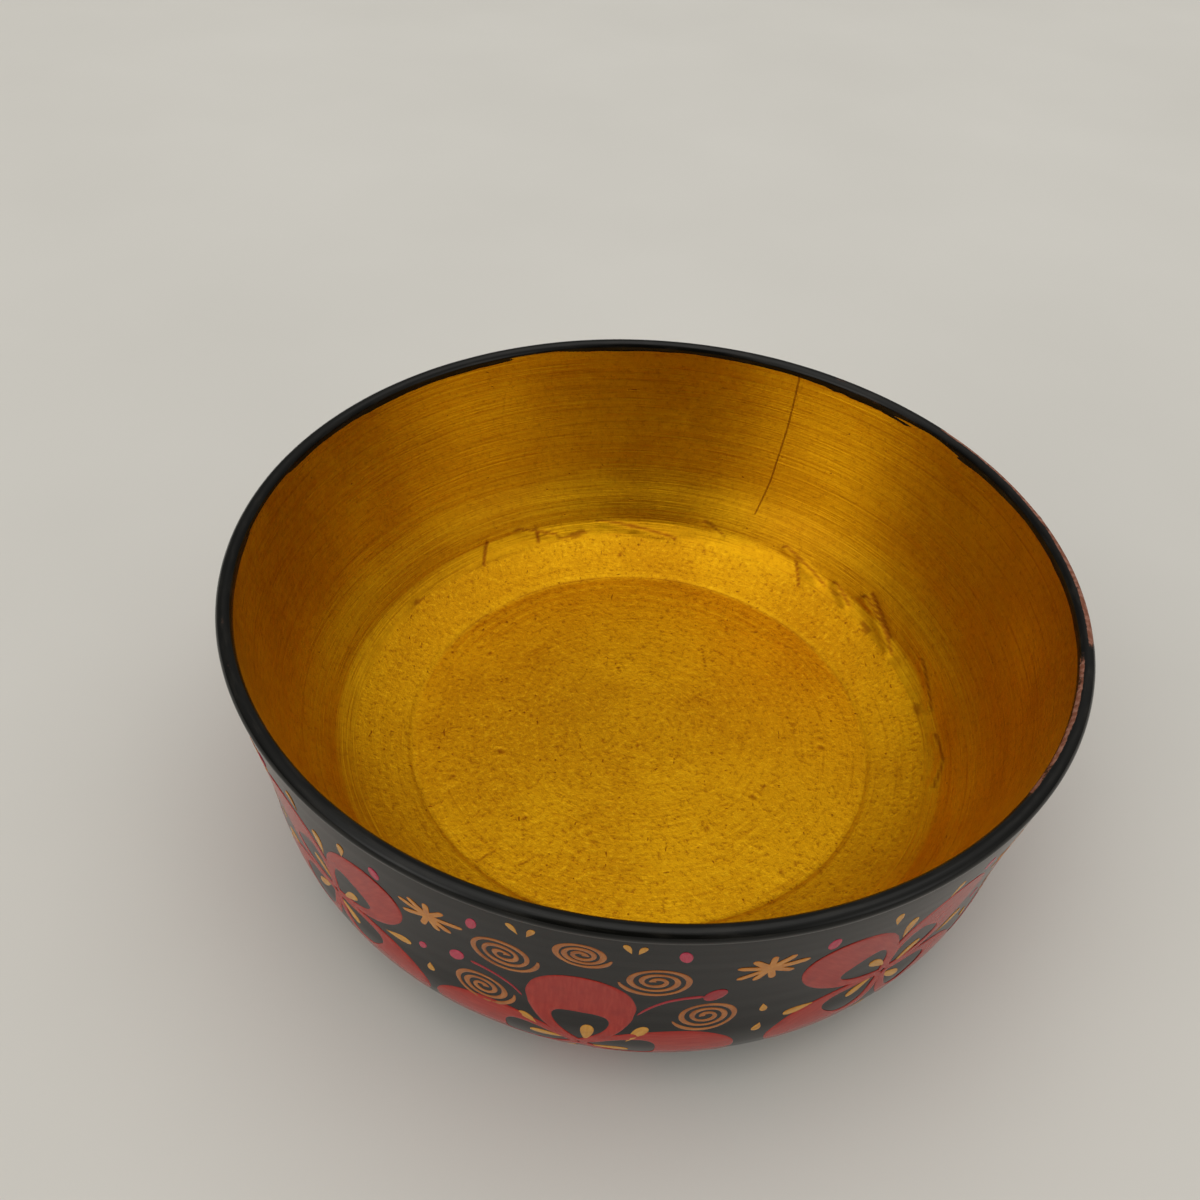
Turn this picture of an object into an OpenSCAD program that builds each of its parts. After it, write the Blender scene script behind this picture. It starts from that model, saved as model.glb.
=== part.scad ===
// Khokhloma painted bowl: a turned lime-wood bowl with its ground, films and brush ornament.
// Origin: centre of the circle that the foot ring stands on. +Z up, millimetres.

/* [Bowl] */
// Outer diameter over the rim
rim_d = 140; // [128:1:160]
// Height from the table to the top of the lip
bowl_h = 54; // [50:0.5:60]
// Thickness of the rounded lip
lip_t = 2.4; // [2:0.1:3.2]
// Outer radius where the wall turns in towards the foot
belly_r = 66.6; // [62:0.1:68]
// Height of that turn
belly_z = 24; // [20:0.5:28]
// Height of the flat floor inside
floor_z = 11.2; // [10:0.1:13]
// Radius of the flat floor inside
floor_r = 42.7; // [38:0.1:45]
// Drop of the small step round the floor
floor_step = 0.4; // [0.2:0.1:0.8]

/* [Foot] */
// Outer radius of the foot ring
foot_r = 46; // [42:0.5:48]
// Height of the foot ring's outer side
foot_h = 2.2; // [1.6:0.1:3]
// Width of the face that the foot ring stands on
foot_w = 2.6; // [2:0.1:4]
// Depth of the recess inside the foot ring
recess_h = 1.6; // [1:0.1:2.4]

/* [Coats] */
// Thickness of the clay ground
ground_t = 0.3; // [0.2:0.05:0.5]
// Thickness of the black and the gold films with their lacquer
film_t = 0.2; // [0.15:0.05:0.4]
// How far the brush ornament stands above the black film
paint_t = 0.15; // [0.1:0.05:0.3]

/* [Ornament] */
// Azimuth of the cross-shaped flower nearest the front
front_az = -97; // [-110:0.5:-80]
// Step from that flower to the next one on the right
right_step = 38.5; // [36:0.5:40]
// Step from that flower to the next one on the left
left_step = 35.5; // [34:0.5:40]
// Length of a petal of the cross-shaped flowers
petal_l = 22.4; // [18:0.2:23]
// Greatest width of such a petal
petal_w = 15.4; // [12:0.2:16]
// Size of the saltire-shaped flowers' petals, as a share of those
saltire_size = 0.91; // [0.8:0.01:1]
// Outer radius of a spiral
spiral_r = 5.4; // [4:0.1:5.6]
// Width of a spiral's brush line
spiral_w = 0.85; // [0.6:0.05:1]
// Length of a star's longest ray
star_r = 5.4; // [3.5:0.1:6]

/* [Hidden] */
$fn = 120;

rim_r = rim_d / 2;
lip_r = lip_t / 2;
coat_t = ground_t + film_t;
foot_fillet = 0.8;
curve_steps = 8;    // straight runs in each curve of the section
flowers = 10;       // two kinds in turn
az_mm = 67;         // radius at which the ornament's widths are measured
reach = 7;          // half the depth of a cutter that stamps a motif out of the paint
petal_root = 0.3;   // gap between a flower's centre and the roots of its petals
spiral_turns = 3;

// ---- Curves ----

function bezier(a, b, c, d, steps) =
    [for (i = [0:steps]) let (t = i / steps, u = 1 - t)
        u * u * u * a + 3 * u * u * t * b + 3 * u * t * t * c + t * t * t * d];

function tail(list) = [for (i = [1:len(list) - 1]) list[i]];
function slice(list, first, last) = [for (i = [first:last]) list[i]];
function flip(list) = [for (i = [len(list) - 1:-1:0]) list[i]];
function unit(v) = v / norm(v);
function right_of(v) = [v[1], -v[0]];

// Normal at a point of a path, stretched at a corner so that an offset keeps its thickness.
function normal_at(path, i) =
    let (back = right_of(unit(path[max(i, 1)] - path[max(i, 1) - 1])),
         ahead = right_of(unit(path[min(i, len(path) - 2) + 1] - path[min(i, len(path) - 2)])))
    (back + ahead) / (1 + back * ahead);

function sunk(path, depth) =
    [for (i = [0:len(path) - 1]) path[i] - depth * normal_at(path, i)];

// ---- Section of the finished surface, walked from the foot over the lip to the axis ----

foot_top = [foot_r + foot_fillet, foot_h];
belly = [belly_r, belly_z];
lip_out = [rim_r, bowl_h - lip_r];
lip_in = [rim_r - lip_t, bowl_h - lip_r];
hip = [rim_r - 7, bowl_h - 25];         // where the inner wall starts to turn in
knee = [rim_r - 14.4, bowl_h - 37.2];   // blunt corner between the wall and the hollow round the floor
floor_edge = [floor_r + 0.8, floor_z + floor_step];
wall_third = (lip_out[1] - belly_z) / 3;

foot_path = concat([[foot_r, 0]],
    bezier([foot_r, foot_h - foot_fillet], [foot_r, foot_h - 0.3],
           [foot_r + 0.3, foot_h], foot_top, 3));
low_path = bezier(foot_top, [belly_r - 4.6, foot_h],
                  [belly_r - 0.4, belly_z - 10.5], belly, curve_steps + 2);
high_path = bezier(belly, [belly_r + 0.5, belly_z + wall_third],
                   [rim_r - 1.4, lip_out[1] - wall_third], lip_out, curve_steps);
wall_path = concat(foot_path, tail(low_path), tail(high_path));
lip_path = [for (a = [180 / curve_steps:180 / curve_steps:180])
    [rim_r - lip_r + lip_r * cos(a), bowl_h - lip_r + lip_r * sin(a)]];
cup_path = concat(
    tail(bezier(lip_in, lip_in - [0.8, 6.6], hip + [2, 8], hip, curve_steps)),
    tail(bezier(hip, hip - [1.6, 6.4], knee + [2.4, 3.2], knee, curve_steps)),
    tail(bezier(knee, knee - [3.2, 2.1], floor_edge + [6, 1.6], floor_edge, curve_steps)),
    [[floor_r, floor_z], [0, floor_z]]);
skin_path = concat(wall_path, lip_path, cup_path);
wall_end = len(wall_path) - 1;
lip_end = wall_end + len(lip_path);
skin_end = len(skin_path) - 1;
under_path = [[0, recess_h], [foot_r - foot_w - 1, recess_h],
              [foot_r - foot_w, recess_h - 0.8], [foot_r - foot_w, 0]];

// A film that lies between two depths under part of a path, turned round the axis.
module film(path, first, last, upper, lower) {
    rotate_extrude()
        polygon(concat(slice(sunk(path, upper), first, last),
                       flip(slice(sunk(path, lower), first, last))));
}

// ---- Body and coats ----

module wood_body() {
    color("burlywood")
        rotate_extrude()
            polygon(concat(sunk(under_path, coat_t), sunk(skin_path, coat_t)));
}

module clay_ground() {
    color("sienna") {
        film(skin_path, 0, skin_end, film_t, coat_t);
        film(under_path, 0, len(under_path) - 1, film_t, coat_t);
    }
}

module gold_interior() {
    color("goldenrod") film(skin_path, lip_end, skin_end, 0, film_t);
}

module black_exterior() {
    color([0.07, 0.07, 0.06]) film(skin_path, 0, wall_end, 0, film_t);
}

module underside_coat() {
    color([0.09, 0.08, 0.07]) film(under_path, 0, len(under_path) - 1, 0, film_t);
}

module rim_band() {
    color([0.12, 0.1, 0.09]) film(skin_path, wall_end, lip_end, 0, film_t);
}

// ---- Brush ornament: motifs drawn flat, then stamped out of a thin layer on the wall ----

// Point of the outer wall a given length below the rim, and how far its normal rises.
function walk(path, left, i) =
    let (step = path[i + 1] - path[i], size = norm(step))
    left <= size || i == len(path) - 2
        ? let (p = path[i] + unit(step) * left) [p[0], p[1], atan2(step[0], -step[1])]
        : walk(path, left - size, i + 1);
function wall_at(s) = walk(flip(wall_path), max(s - lip_r, 0.01), 0);

module paint_layer() {
    film(skin_path, 2, wall_end - 1, -paint_t, 0);
}

// Stamps a flat motif on the wall, centred s below the rim.
module stamp(az, s) {
    p = wall_at(s);
    intersection() {
        paint_layer();
        rotate([0, 0, az]) translate([p[0], 0, p[1]]) rotate([0, -p[2], 0]) rotate([90, 0, 90])
            linear_extrude(2 * reach, center = true) children();
    }
}

// Leaf or drop along +Y from its root, widest at the share `belly` of its length. `tip` is the
// power of its round end: 0.5 is an ellipse's, and less is blunter.
function leaf(length, width, belly, tip, steps) =
    let (root = tip * belly / (1 - belly))
    [for (side = [1, -1], i = [0:steps - 1])
        let (t = (1 - side * cos(180 * i / steps)) / 2,
             half = width / 2 * pow(t / belly, root) * pow((1 - t) / (1 - belly), tip))
        [side * half, t * length]];

// Brush line along a bent path between two points, thick at its end.
function stroke(a, bend, b, w0, w1) =
    let (steps = 6,
         mid = [for (i = [0:steps]) let (t = i / steps)
             (1 - t) * (1 - t) * a + 2 * t * (1 - t) * bend + t * t * b],
         out = [for (i = [0:steps]) normal_at(mid, i) * (w0 + (w1 - w0) * i / steps) / 2])
    concat(mid + out, flip(mid - out));

// Spiral line that starts as a blob in the middle.
function spiral(radius, hand) =
    let (steps = spiral_turns * 12,
         ring = function(i, shift) let (r = 0.5 + (radius - 0.5 - spiral_w / 2) * i / steps + shift)
             [hand * r * cos(30 * i), r * sin(30 * i)])
    concat([for (i = [0:steps]) ring(i, spiral_w / 2)],
           [for (i = [steps:-1:4]) ring(i, -spiral_w / 2)]);

function star(radius, rays) =
    [for (i = [0:2 * rays - 1])
        let (r = i % 2 == 1 ? 0.24 * radius : radius * (1 - 0.28 * abs(sin(70 * i))), a = 180 / rays * i + 8)
        r * [cos(a), sin(a)]];

// The flowers stand in turn as a cross (+) and, a little higher, as a saltire (x).
function is_cross(k) = k % 2 == 0;
function flower_s(k) = is_cross(k) ? 38 : 27;
function flower_az(k) =
    k == 0 ? front_az
    : front_az + right_step + (k - 1) * (360 - right_step - left_step) / (flowers - 2);

// Places a motif at u to the right of a flower's centre and v above it.
module at(k, u, v) {
    stamp(flower_az(k) + u / az_mm * 180 / PI, flower_s(k) - v) children();
}

// Petal with the dark drop-shaped eye that is left open in it near the flower's centre.
module petal(k, dir) {
    size = is_cross(k) ? 1 : saltire_size;
    mid = petal_root + size * petal_l / 2;
    at(k, mid * cos(dir), mid * sin(dir))
        rotate(dir - 90) scale(size) translate([0, -petal_l / 2])
            difference() {
                polygon(leaf(petal_l, petal_w, 0.6, 0.5, 10));
                translate([0, 1.2]) polygon(leaf(9.8, 8.2, 0.74, 0.35, 8));
            }
}

cross_dirs = [90, 0, 180, 270];
saltire_dirs = [50, 130, 220, 320];

module red_petals() {
    color([0.62, 0.17, 0.14])
        for (k = [0:flowers - 1], dir = is_cross(k) ? cross_dirs : saltire_dirs)
            petal(k, dir);
}

// Spirals of a cross: u, v, share of spiral_r and hand. Those of a saltire lie under it.
cross_spirals = [[-10.4, 24, 1, 1], [9.7, 23.9, 1, -1], [-14.2, 10.9, 0.95, 1],
                 [17.4, 12.3, 0.95, -1], [-0.1, 30, 0.8, 1]];
saltire_spirals = [[-7.2, -20.5, 0.9, 1], [7.2, -20.5, 0.9, -1]];

module gold_spirals() {
    color([0.64, 0.38, 0.2])
        for (k = [0:flowers - 1], m = is_cross(k) ? cross_spirals : saltire_spirals)
            at(k, m[0], m[1]) polygon(spiral(m[2] * spiral_r, m[3]));
}

module gold_stars() {
    color([0.7, 0.42, 0.2])
        for (k = [0:2:flowers - 1], u = [-21.1, 24])
            at(k, u, 26.4) polygon(star(star_r, 9));
}

// Gold drops: u, v, direction of the thin end, length and width.
cross_drops = [[8.1, 5.8, 245, 6.2, 2], [-7.1, 5.1, -50, 5, 1.8], [1.1, 4.4, -93, 6.2, 2],
               [4.4, -1.1, 177, 6, 1.9], [-4.4, 1.1, 3, 6, 1.9], [-1.1, -4.4, 87, 6, 1.9],
               [25.5, 12.7, 100, 2.6, 1.2], [25.6, 6.3, 80, 2.6, 1.5], [-22.9, 9.1, 90, 2.4, 1.3],
               [-8.6, 33.2, -65, 3, 1.1], [-6.4, 33.2, -110, 3, 1], [5.6, 33.8, -70, 2.8, 1],
               [7.2, 33.6, -110, 2.6, 1]];
saltire_drops = [[13.2, 1.6, 195, 5.2, 1.9], [-13.4, -1.7, 13, 5.2, 1.9], [3.6, 2.4, 227, 5.6, 1.8],
                 [-2, 3.9, -47, 5.6, 1.8], [-3.4, -1.9, 43, 5.6, 1.8], [2.2, -3, 137, 5.6, 1.8],
                 [0, 13.4, -90, 6.4, 1.8], [0, -13, 90, 6, 1.8],
                 [6.4, 18.6, -100, 4.2, 1.3], [-4, 19.6, -80, 4.2, 1.3]];

module gold_strokes() {
    color([0.74, 0.5, 0.18])
        for (k = [0:flowers - 1], m = is_cross(k) ? cross_drops : saltire_drops)
            at(k, m[0], m[1]) rotate(m[2] + 90) translate([0, -m[3] / 2])
                polygon(leaf(m[3], m[4], 0.72, 0.5, 5));
}

// Crimson dots: u, v, tilt, length and width.
cross_dots = [[-14.3, 30.4, -15, 3.4, 1.5], [-17.7, 17.7, -25, 3.4, 2.1], [12.6, 32.1, 8, 3.4, 1.7],
              [-23.5, 15.1, -20, 2.2, 1.2], [-13, -14, 30, 3, 2], [13, -14, -30, 3, 2]];
saltire_dots = [[12.6, 19.2, 0, 3.2, 1.8], [-13.2, 19, 0, 3.2, 1.8], [0, -28, 0, 3, 2]];

module crimson_dots() {
    color([0.6, 0.22, 0.28])
        for (k = [0:flowers - 1], m = is_cross(k) ? cross_dots : saltire_dots)
            at(k, m[0], m[1]) rotate(m[2]) translate([0, -m[3] / 2])
                polygon(leaf(m[3], m[4], 0.5, 0.5, 5));
}

// Thin stems that bend outwards between the spirals of a cross. The right one ends in a leaf.
module crimson_stems() {
    color([0.5, 0.13, 0.13])
        for (k = [0:2:flowers - 1]) {
            at(k, 12.4, 16.4) polygon(stroke([-4.6, -4.2], [-1.6, 2.2], [4, 2.4], 0.4, 0.9));
            at(k, 17.9, 19.1) rotate(-35) translate([0, -2])
                polygon(leaf(4, 2.7, 0.5, 0.5, 6));
            at(k, -11.4, 15.4) polygon(stroke([3.2, -3.2], [1, 1.6], [-4.2, 2.2], 0.4, 0.8));
        }
}

wood_body();
clay_ground();
gold_interior();
black_exterior();
underside_coat();
rim_band();
red_petals();
gold_spirals();
gold_stars();
gold_strokes();
crimson_dots();
crimson_stems();
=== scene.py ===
import math

import bpy
import numpy as np
from mathutils import Matrix, Vector


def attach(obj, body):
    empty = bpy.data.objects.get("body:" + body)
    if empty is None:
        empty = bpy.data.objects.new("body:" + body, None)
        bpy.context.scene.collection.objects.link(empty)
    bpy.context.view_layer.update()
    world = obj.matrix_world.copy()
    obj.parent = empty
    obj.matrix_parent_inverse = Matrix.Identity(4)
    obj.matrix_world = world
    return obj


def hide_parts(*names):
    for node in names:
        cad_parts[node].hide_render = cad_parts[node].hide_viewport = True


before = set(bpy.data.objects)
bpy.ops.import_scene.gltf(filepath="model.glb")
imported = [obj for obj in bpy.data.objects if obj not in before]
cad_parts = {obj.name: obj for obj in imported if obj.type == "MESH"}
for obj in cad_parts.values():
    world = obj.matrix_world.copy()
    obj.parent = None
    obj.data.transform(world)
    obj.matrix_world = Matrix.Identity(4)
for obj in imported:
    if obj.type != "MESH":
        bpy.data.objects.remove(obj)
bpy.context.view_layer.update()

MM = 0.001
TAU = 2 * math.pi
scene = bpy.context.scene

# ---------------------------------------------------------------- camera, studio, floor

CAMERA_AT = (-0.00883, -0.14398, 0.1767)
CAMERA_RIGHT = (0.99813, 0.04154, 0.04487)
CAMERA_UP = (-0.06114, 0.67803, 0.73249)
CAMERA_BACK = (0.0, -0.73386, 0.67930)


def add_camera():
    data = bpy.data.cameras.new("camera")
    data.lens = 34.5
    data.sensor_width = 36
    data.clip_start = 0.005
    camera = bpy.data.objects.new("camera", data)
    turn = Matrix((CAMERA_RIGHT, CAMERA_UP, CAMERA_BACK)).transposed()
    camera.matrix_world = Matrix.Translation(CAMERA_AT) @ turn.to_4x4()
    scene.collection.objects.link(camera)
    scene.camera = camera


def add_light(name, place, aim, size, watts, color):
    data = bpy.data.lights.new(name, "AREA")
    data.shape = "DISK"
    data.size = size
    data.energy = watts
    data.color = color
    light = bpy.data.objects.new(name, data)
    light.location = place
    light.rotation_euler = (Vector(place) - Vector(aim)).to_track_quat("Z", "Y").to_euler()
    scene.collection.objects.link(light)


class Nodes:
    """Short calls for building a node tree."""

    def __init__(self, tree):
        self.tree = tree

    def node(self, kind, sockets=None, **settings):
        node = self.tree.nodes.new("ShaderNode" + kind)
        for key, value in settings.items():
            setattr(node, key, value)
        for key, value in (sockets or {}).items():
            self.feed(node.inputs[key], value)
        return node

    def feed(self, socket, value):
        if isinstance(value, bpy.types.NodeSocket):
            self.tree.links.new(value, socket)
        elif socket.type == "RGBA" and len(value) == 3:
            socket.default_value = (*value, 1.0)
        else:
            socket.default_value = value

    def calc(self, operation, a, b=0.0, c=0.0):
        return self.node("Math", {0: a, 1: b, 2: c}, operation=operation).outputs[0]

    def vector(self, operation, a, b=(0, 0, 0), out=0):
        return self.node("VectorMath", {0: a, 1: b}, operation=operation).outputs[out]

    def ramp(self, value, low, high, at_low=0.0, at_high=1.0):
        return self.node("MapRange", {0: value, 1: low, 2: high, 3: at_low, 4: at_high},
                         interpolation_type="SMOOTHSTEP").outputs[0]

    def noise(self, vector, scale=1.0, detail=2.0, rough=0.5, out="Fac"):
        return self.node("TexNoise", {"Vector": vector, "Scale": scale, "Detail": detail,
                                      "Roughness": rough}).outputs[out]

    def mix(self, share, a, b):
        return self.node("Mix", {0: share, 6: a, 7: b}, data_type="RGBA").outputs[2]

    def split(self, vector):
        return self.node("SeparateXYZ", {0: vector}).outputs

    def join(self, x, y, z):
        return self.node("CombineXYZ", {0: x, 1: y, 2: z}).outputs[0]


# Soft lights on the sky: azimuth, elevation, sharpness, strength. Each fades away smoothly
# round its middle.
SKY = [
    (0, 90, 5, 1.38), (30, 50, 8, 0.33), (-150, 50, 8, 1.10), (-30, 50, 8, 0.20),
    (90, 15, 8, 0.20), (90, 50, 8, 0.12), (30, 15, 8, 0.14), (150, 15, 8, 0.16),
    (-30, 15, 8, 0.45), (-141, 20, 24, 2.20), (-37, 16, 24, 1.00),
]
SKY_EVEN = 0.05
SKY_COLOR = (1.0, 0.985, 0.95, 1)
# A darker strip where a person would stand: its azimuth, how dark it is, the cosines of the angle
# off its middle where it starts and is full, and the heights on the sky where it fades out.
DARK_AZ, DARK_DEPTH = math.radians(-93), 0.9
DARK_SIDES, DARK_TOP = (0.90, 0.985), (0.72, 0.92)


def add_world():
    world = bpy.data.worlds.new("studio")
    world.use_nodes = True
    scene.world = world
    n = Nodes(world.node_tree)
    way = n.node("TexCoord").outputs["Generated"]
    total = SKY_EVEN
    for az, el, sharp, strength in SKY:
        az, el = math.radians(az), math.radians(el)
        aim = (math.cos(el) * math.cos(az), math.cos(el) * math.sin(az), math.sin(el))
        near = n.calc("MAXIMUM", n.vector("DOT_PRODUCT", way, aim, out=1), 0.0)
        total = n.calc("ADD", total, n.calc("MULTIPLY", n.calc("POWER", near, sharp), strength))
    level = n.vector("NORMALIZE", n.vector("MULTIPLY", way, (1, 1, 0)))
    facing = n.vector("DOT_PRODUCT", level, (math.cos(DARK_AZ), math.sin(DARK_AZ), 0), out=1)
    dark = n.calc("MULTIPLY", n.ramp(facing, *DARK_SIDES, 0.0, DARK_DEPTH),
                  n.ramp(n.split(way)[2], *DARK_TOP, 1.0, 0.0))
    total = n.calc("MULTIPLY", total, n.calc("SUBTRACT", 1.0, dark))
    background = world.node_tree.nodes["Background"]
    n.feed(background.inputs["Strength"], total)
    background.inputs["Color"].default_value = SKY_COLOR


TABLE_HALF = 3.0        # half the side of the studio floor, in metres
TABLE_Z = -5e-5         # just under the foot, so that the two faces don't lie in one plane


def add_floor():
    corners = [(x * TABLE_HALF, y * TABLE_HALF, TABLE_Z)
               for x, y in ((-1, -1), (1, -1), (1, 1), (-1, 1))]
    mesh = bpy.data.meshes.new("floor")
    mesh.from_pydata(corners, [], [(0, 1, 2, 3)])
    floor = bpy.data.objects.new("floor", mesh)
    scene.collection.objects.link(floor)
    mat = bpy.data.materials.new("floor")
    mat.use_nodes = True
    n = Nodes(mat.node_tree)
    bsdf = mat.node_tree.nodes["Principled BSDF"]
    where = n.node("TexCoord").outputs["Object"]
    soft = n.noise(where, 9.0, 3.0)
    n.feed(bsdf.inputs["Base Color"], n.mix(soft, (0.63, 0.615, 0.575), (0.71, 0.695, 0.655)))
    bsdf.inputs["Roughness"].default_value = 0.9
    bsdf.inputs["Specular IOR Level"].default_value = 0.1
    mesh.materials.append(mat)


scene.view_settings.view_transform = "Standard"
add_camera()
add_world()
add_floor()
add_light("overhead", (0.08, 0.15, 1.1), (0, 0, 0), 1.1, 0.8, (1.0, 0.97, 0.92))

# ---------------------------------------------------------------- the section, in millimetres

RIM_R, BOWL_H, LIP_T = 70.0, 54.0, 2.4
LIP_R = LIP_T / 2
BELLY_R, BELLY_Z = 66.6, 24.0
FLOOR_R, FLOOR_Z, FLOOR_STEP = 42.7, 11.2, 0.4
FOOT_R, FOOT_H, FOOT_W, FOOT_FILLET = 46.0, 2.2, 2.6, 0.8
RECESS_H = 1.6
FILM_T = 0.2
PAINT_T = 0.07          # how far a brush stroke stands proud of the black
PAINT_ROOT = 0.04       # how deep its back lies in the black


def bezier(a, b, c, d, steps=48):
    t = np.linspace(0, 1, steps + 1)[:, None]
    a, b, c, d = (np.asarray(p, float) for p in (a, b, c, d))
    return (1 - t) ** 3 * a + 3 * (1 - t) ** 2 * t * b + 3 * (1 - t) * t * t * c + t ** 3 * d


class Track:
    """A curve (r, z), read by the length along it, with the normal on its right."""

    def __init__(self, *runs):
        points = [np.asarray(runs[0], float)]
        points += [np.asarray(run, float)[1:] for run in runs[1:]]
        self.points = np.vstack(points)
        steps = np.diff(self.points, axis=0)
        size = np.hypot(steps[:, 0], steps[:, 1])
        self.length = np.concatenate([[0], np.cumsum(size)])
        ways = steps / size[:, None]
        ends = np.vstack([ways[:1], ways[:-1] + ways[1:], ways[-1:]])
        self.normals = np.stack([ends[:, 1], -ends[:, 0]], 1)

    def length_at(self, point):
        return self.length[np.argmin(np.hypot(*(self.points - np.asarray(point)).T))]

    def at(self, along):
        r, z, nr, nz = (np.interp(along, self.length, column) for column in
                        (*self.points.T, *self.normals.T))
        size = np.hypot(nr, nz)
        return r, z, nr / size, nz / size


foot_top = np.array([FOOT_R + FOOT_FILLET, FOOT_H])
belly = np.array([BELLY_R, BELLY_Z])
lip_out = np.array([RIM_R, BOWL_H - LIP_R])
lip_in = np.array([RIM_R - LIP_T, BOWL_H - LIP_R])
hip = np.array([RIM_R - 7, BOWL_H - 25])
knee = np.array([RIM_R - 14.4, BOWL_H - 37.2])
floor_edge = np.array([FLOOR_R + 0.8, FLOOR_Z + FLOOR_STEP])
wall_third = (lip_out[1] - BELLY_Z) / 3
half_turn = np.linspace(0, math.pi, 33)[:, None]

SKIN = Track(
    [[FOOT_R, 0], [FOOT_R, FOOT_H - FOOT_FILLET]],
    bezier([FOOT_R, FOOT_H - FOOT_FILLET], [FOOT_R, FOOT_H - 0.3], [FOOT_R + 0.3, FOOT_H],
           foot_top, 8),
    bezier(foot_top, [BELLY_R - 4.6, FOOT_H], [BELLY_R - 0.4, BELLY_Z - 10.5], belly),
    bezier(belly, [BELLY_R + 0.5, BELLY_Z + wall_third],
           [RIM_R - 1.4, lip_out[1] - wall_third], lip_out),
    [RIM_R - LIP_R, BOWL_H - LIP_R] + LIP_R * np.hstack([np.cos(half_turn), np.sin(half_turn)]),
    bezier(lip_in, lip_in - [0.8, 6.6], hip + [2, 8], hip),
    bezier(hip, hip - [1.6, 6.4], knee + [2.4, 3.2], knee),
    bezier(knee, knee - [3.2, 2.1], floor_edge + [6, 1.6], floor_edge),
    [floor_edge, [FLOOR_R, FLOOR_Z], [0, FLOOR_Z]])
UNDER = Track([[0, RECESS_H], [FOOT_R - FOOT_W - 1, RECESS_H]],
              [[FOOT_R - FOOT_W - 1, RECESS_H], [FOOT_R - FOOT_W, RECESS_H - 0.8],
               [FOOT_R - FOOT_W, 0]])
OUT_END = SKIN.length_at(lip_out)       # along the skin to the lip's outer side
IN_START = SKIN.length_at(lip_in)       # and to its inner side
EDGE_AT = SKIN.length_at(floor_edge)
FLOOR_AT = SKIN.length_at([FLOOR_R, FLOOR_Z])
SKIN_END = SKIN.length[-1]


def outside(s):
    """Length along the skin of the point s below the rim, on the outer wall."""
    return OUT_END - (s - LIP_R)


# ---------------------------------------------------------------- relief and meshes

def step(low, high, value):
    t = np.clip((value - low) / (high - low), 0, 1)
    return t * t * (3 - 2 * t)


def ripples(seed, az, s, waves, orders, lengths):
    """Sum of sines that closes round the axis, of about unit size."""
    rng = np.random.default_rng(seed)
    total = 0
    for _ in range(waves):
        order = rng.integers(orders[0], orders[1] + 1)
        pitch = TAU / rng.uniform(*lengths)
        total = total + np.sin(order * az + pitch * s + rng.uniform(0, TAU))
    return total / math.sqrt(waves)


def patches(seed, az, s, cells, cell_s, octaves=3):
    """Value noise from 0 to 1 that closes round the axis: cells round it, cell_s along s."""
    rng = np.random.default_rng(seed)
    total, weight, size = 0.0, 0.0, 1.0
    for _ in range(octaves):
        grid = rng.random((cells, 257))
        x = (np.asarray(az) / TAU % 1) * cells
        y = np.asarray(s) / cell_s + 100.0
        i, j = np.floor(x).astype(int), np.floor(y).astype(int)
        fx, fy = step(0, 1, x - i), step(0, 1, y - j)
        i0, i1, j0, j1 = i % cells, (i + 1) % cells, j % 257, (j + 1) % 257
        value = ((grid[i0, j0] * (1 - fx) + grid[i1, j0] * fx) * (1 - fy)
                 + (grid[i0, j1] * (1 - fx) + grid[i1, j1] * fx) * fy)
        total, weight = total + size * value, weight + size
        cells, cell_s, size = cells * 2, cell_s / 2, size / 2
    return total / weight


def to_segment(x, y, a, b):
    """Distance from points to a segment, and the share of the way along it."""
    dx, dy = b[0] - a[0], b[1] - a[1]
    t = np.clip(((x - a[0]) * dx + (y - a[1]) * dy) / max(dx * dx + dy * dy, 1e-9), 0, 1)
    return np.hypot(x - a[0] - t * dx, y - a[1] - t * dy), t


def weld(points, faces, values):
    """Joins points at one place and drops the faces and corners that this closes up."""
    key = np.round(points / (0.002 * MM)).astype(np.int64)
    _, first, back = np.unique(key, axis=0, return_index=True, return_inverse=True)
    back = back.reshape(-1)
    kept = []
    for face in faces:
        ring = [int(back[i]) for i in face]
        ring = [v for i, v in enumerate(ring) if v != ring[i - 1]]
        if len(set(ring)) >= 3:
            kept.append(ring)
    return points[first], kept, {name: value[first] for name, value in values.items()}


def build(name, points, faces, values, nodes, mat, sharp=50):
    """Makes a piece from points in metres, and lets it stand for CAD nodes."""
    mesh = bpy.data.meshes.new(name)
    mesh.from_pydata(points.tolist(), [], faces)
    for key, value in values.items():
        kind = "FLOAT_VECTOR" if value.ndim == 2 else "FLOAT"
        layer = mesh.attributes.new(key, kind, "POINT")
        layer.data.foreach_set("vector" if value.ndim == 2 else "value",
                               np.ascontiguousarray(value, np.float32).ravel())
    mesh.validate()
    mesh.shade_smooth()
    mesh.set_sharp_from_angle(angle=math.radians(sharp))
    mesh.materials.append(mat)
    piece = bpy.data.objects.new(name, mesh)
    scene.collection.objects.link(piece)
    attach(piece, "root")
    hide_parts(*nodes)
    return piece


def spin(r, z, az, closed):
    """Points and faces of rings (rows) round the axis. A row on the axis becomes one point."""
    rows, around = r.shape
    points = np.stack([r * np.cos(az), r * np.sin(az), z], -1).reshape(-1, 3) * MM
    faces = []
    last = rows if closed else rows - 1
    j = np.arange(around)
    k = (j + 1) % around
    for i in range(last):
        a, b = i * around, (i + 1) % rows * around
        faces += np.stack([a + j, b + j, b + k, a + k], 1).tolist()
    return points, faces


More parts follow.
